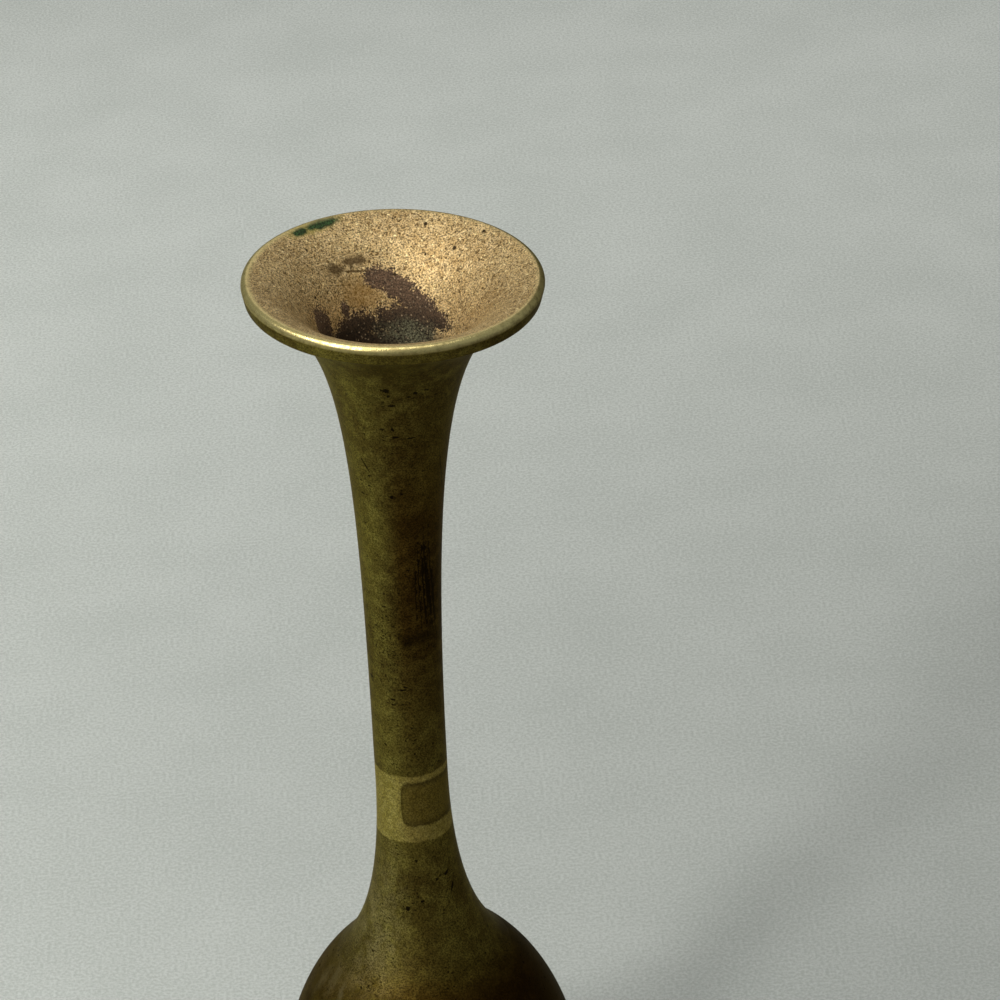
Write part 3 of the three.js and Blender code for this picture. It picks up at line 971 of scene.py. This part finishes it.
# %% Plain finishes of the other pieces
SCUFFED = "#6f6444"
SCUFFS = ((-0.8, -163, 0.9, 2.8, 12), (-3.2, -172, 0.8, 2.2, 0), (-2.2, -150, 0.6, 1.8, 16))


def plain_brass(name, tones, speck, gloss, scuffs=()):
    """Old brass with specks, grain and tool rings, and perhaps a few pale scuffs."""
    material, tree, place = start_finish(name)
    # the skin comes with painted shade below the collar and on the right side
    skin, flecks, grain = outside_skin(tree, place, tones, speck, 0.35)
    if scuffs:
        ragged = noise(tree, place, 1.2, 6, 0.75)[0]
        ragged = number(tree, "MULTIPLY_ADD", ragged, 5.0, -2.5)
        scuffed = times(tree, blots(tree, place, ragged, on_shoulder, scuffs, 1.6), 0.45)
        skin = over(tree, skin, scuffed, SCUFFED)
    rings = tool_rings(tree, add(tree, "ShaderNodeSeparateXYZ", [place])[2])
    rough = ramp(tree, flecks, 0.0, 1.0, gloss, gloss + 0.15)
    height = times(tree, rings, RING_HEIGHT)
    hollow = times(tree, flecks, SPECK_DEPTH)
    height = number(tree, "SUBTRACT", height, hollow)
    height = number(tree, "ADD", height, grain)
    return finish_off(tree, material, skin, rough, 1.0, height)


FOOT_TONES, FOOT_SPECK = ("#7b6f35", "#9f9148", "#bfaf60"), "#463a1a"
DISC_TONES, DISC_SPECK = ("#a39050", "#b8a662", "#ccbb75"), "#5c4c28"
FILLER_TONES, FILLER_SPECK = ("#ccbf8c", "#dfd2a2", "#efe6be"), "#85734a"
body_brass = plain_brass("aged brass, olive brown", OLIVE_TONES, OLIVE_SPECK, 0.62, SCUFFS)
foot_brass = plain_brass("aged brass, rubbed at the foot", FOOT_TONES, FOOT_SPECK, 0.36)
disc_brass = plain_brass("dull turned brass", DISC_TONES, DISC_SPECK, 0.50)
filler = plain_brass("brazing filler, pale and dull", FILLER_TONES, FILLER_SPECK, 0.50)

# %% [markdown]
# The neck is drawn from the lip down. Its lip has a round nose, a slightly tapered wall and
# an eased lower edge that catches a thin line of light. Below the collar a short spigot goes
# into the body.

# %% Mouth and neck
nose = (MOUTH_RADIUS - LIP_NOSE, NECK_LENGTH - LIP_NOSE)
loop = (
    arc(nose, LIP_NOSE, 90, 0, 12)
    + [(*LIP_EDGE, 0.35)]
    + outer_flare[1:]
    + outer_root[1:-1]
    + [(COLLAR_RADIUS, 0), (SPIGOT_RADIUS, 0), (SPIGOT_RADIUS, SPIGOT_BOTTOM - COLLAR, 0.3)]
    + [(BORE_RADIUS, SPIGOT_BOTTOM - COLLAR, 0.3)]
    + inner_root[::-1]
    + inner_flare[-2::-1]
)
loop = [(point[0], point[1] + COLLAR, *point[2:]) for point in loop]
mouth_and_neck = turned("brass_mouth_and_neck", loop[::-1], neck_brass)

# %% [markdown]
# The body is two bowls. The upper one carries the neck's socket and has a rebate inside its
# lower edge; the lower one has a thin lip that laps into it. Both are parts of ellipses, with
# an exactly even wall, and their outer corners are eased so the joint shows as a hairline.

# %% Body
def bowl(half, depth, low, high, steps=40):
    """Points up a bowl between two heights from the belly, even in angle."""
    start, end = (math.asin(height / (half - depth)) for height in (low, high))
    heights = [(half - depth) * math.sin(angle) for angle in np.linspace(start, end, steps + 1)]
    return [(bowl_radius(height, half, depth), BELLY + height) for height in heights]


REBATE_RADIUS = LAP_OUTER + FIT_GAP
REBATE_TOP = BEAD_TOP + FIT_GAP
HAIRLINE = 0.08
socket_root = bowl_height(SOCKET_OUTER, UPPER_HALF, BODY_WALL)
outer_shell = bowl(UPPER_HALF, 0, 0, COLLAR - BELLY)
loop = (
    [(REBATE_RADIUS, BELLY), (*outer_shell[0], HAIRLINE)]
    + outer_shell[1:-1]
    + [(COLLAR_RADIUS, COLLAR), (SOCKET_RADIUS, COLLAR), (SOCKET_RADIUS, SOCKET_BOTTOM)]
    + [(SOCKET_OUTER, SOCKET_BOTTOM, 0.2)]
    + bowl(UPPER_HALF, BODY_WALL, REBATE_TOP - BELLY, socket_root)[::-1]
    + [(REBATE_RADIUS, REBATE_TOP)]
)
upper_body = turned("brass_upper_body", loop, body_brass)

rim = FOOT_HEIGHT - BELLY
loop = (
    bowl(LOWER_HALF, 0, rim, 0)[:-1]
    + [(BELLY_RADIUS, BELLY, HAIRLINE), (LAP_OUTER, BELLY)]
    + [(LAP_OUTER, LAP_TOP, 0.2), (LAP_INNER, LAP_TOP, 0.2)]
    + bowl(LOWER_HALF, BODY_WALL, rim, 0)[::-1]
)
lower_body = turned("brass_lower_body", loop, body_brass)

# %% [markdown]
# The foot is a ring with a hollowed side. Its lower edge is rounded by long standing and
# wiping, and inside it a ledge carries the flat disc that closes the vase. The disc has a
# small centre mark, where the lathe's tailstock held it.

# %% Foot ring and base disc
low, top = np.array([FOOT_RADIUS, FOOT_EDGE]), np.array([FOOT_TOP_RADIUS, FOOT_HEIGHT])
hollow = np.array([FOOT_TOP_RADIUS - FOOT_HOLLOW, (FOOT_EDGE + FOOT_HEIGHT) / 2])
side = [
    tuple((1 - share) ** 2 * low + 2 * share * (1 - share) * hollow + share**2 * top)
    for share in np.linspace(0, 1, 17)
]
loop = (
    [(FOOT_RADIUS - FOOT_WIDTH_UNDER, 0, 0.3), (FOOT_RADIUS - FOOT_EDGE / 2, 0, 0.3)]
    + [(*side[0], 0.25)]
    + side[1:-1]
    + [(*side[-1], 0.2), (SEAT_RADIUS, FOOT_HEIGHT), (SEAT_RADIUS, DISC_BOTTOM)]
    + [(LEDGE_RADIUS, DISC_BOTTOM, 0.1), (LEDGE_RADIUS, FOOT_EDGE, 0.3)]
)
foot_ring = turned("brass_foot_ring", loop, foot_brass)

disc_radius = SEAT_RADIUS - FIT_GAP
loop = [
    (0, DISC_BOTTOM + 0.5), (0.9, DISC_BOTTOM, 0.15), (disc_radius, DISC_BOTTOM, 0.1),
    (disc_radius, FOOT_HEIGHT, 0.1), (0, FOOT_HEIGHT),
]
base_disc = turned("brass_base_disc", loop, disc_brass, solid_to_axis=True)

# %% [markdown]
# Brazing filler runs into a joint and freezes with a hollow face in an inside corner, or as
# a round bead on an edge. Each ring fills its corner up to the pieces that it bonds.

# %% Braze rings
centre = (SOCKET_RADIUS + NECK_FILLET, SOCKET_BOTTOM - NECK_FILLET)
loop = [(SOCKET_RADIUS, SOCKET_BOTTOM)] + arc(centre, NECK_FILLET, 90, 180, 8)
neck_ring = turned("braze_ring_neck", loop[::-1], filler)

loop = [
    (LAP_INNER, LAP_TOP), (LAP_OUTER, LAP_TOP),
    (LAP_OUTER, BEAD_TOP, 0.5), (LAP_INNER, BEAD_TOP, 0.5),
]
belly_ring = turned("braze_ring_belly", loop, filler)

wedge_inner = bowl_radius(rim, LOWER_HALF)
wedge_top = BELLY - bowl_height(FOOT_TOP_RADIUS, LOWER_HALF, -FIT_GAP)
loop = [
    (wedge_inner, FOOT_HEIGHT), (FOOT_TOP_RADIUS - 0.1, FOOT_HEIGHT),
    ((wedge_inner + FOOT_TOP_RADIUS) / 2, (FOOT_HEIGHT + wedge_top) / 2 - 0.1),
    (bowl_radius(BELLY - wedge_top, LOWER_HALF), wedge_top),
]
foot_ring_braze = turned("braze_ring_foot", loop, filler)

corner = LEDGE_RADIUS - FIT_GAP
centre = (corner - BASE_FILLET, DISC_BOTTOM - BASE_FILLET)
loop = [(corner, DISC_BOTTOM)] + arc(centre, BASE_FILLET, 90, 0, 8)
base_ring = turned("braze_ring_base", loop, filler)

# %% [markdown]
# Each turned piece stands for the CAD solid of the same name, which is hidden, and the
# table lists that solid's material slot. Nothing on a bud vase moves, so they all ride on
# the one body, root.

# %% Say what each piece stands for
PIECES = (
    # piece, CAD node that it replaces, slot
    (mouth_and_neck, "mouth_and_neck", "neck_brass"),
    (upper_body, "upper_body", "body_brass"),
    (lower_body, "lower_body", "body_brass"),
    (foot_ring, "foot_ring", "foot_brass"),
    (base_disc, "base_disc", "disc_brass"),
    (neck_ring, "neck_braze_ring", "braze_filler"),
    (belly_ring, "belly_braze_ring", "braze_filler"),
    (foot_ring_braze, "foot_braze_ring", "braze_filler"),
    (base_ring, "base_braze_ring", "braze_filler"),
)
for piece, node, slot in PIECES:
    low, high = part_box(node)
    corners = np.array([vertex.co for vertex in piece.data.vertices]) / MM
    print(node, "lowest", np.round(corners.min(0) - np.array(low) / MM, 3),
          "highest", np.round(corners.max(0) - np.array(high) / MM, 3))
    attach(piece, "root")
    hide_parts(node)
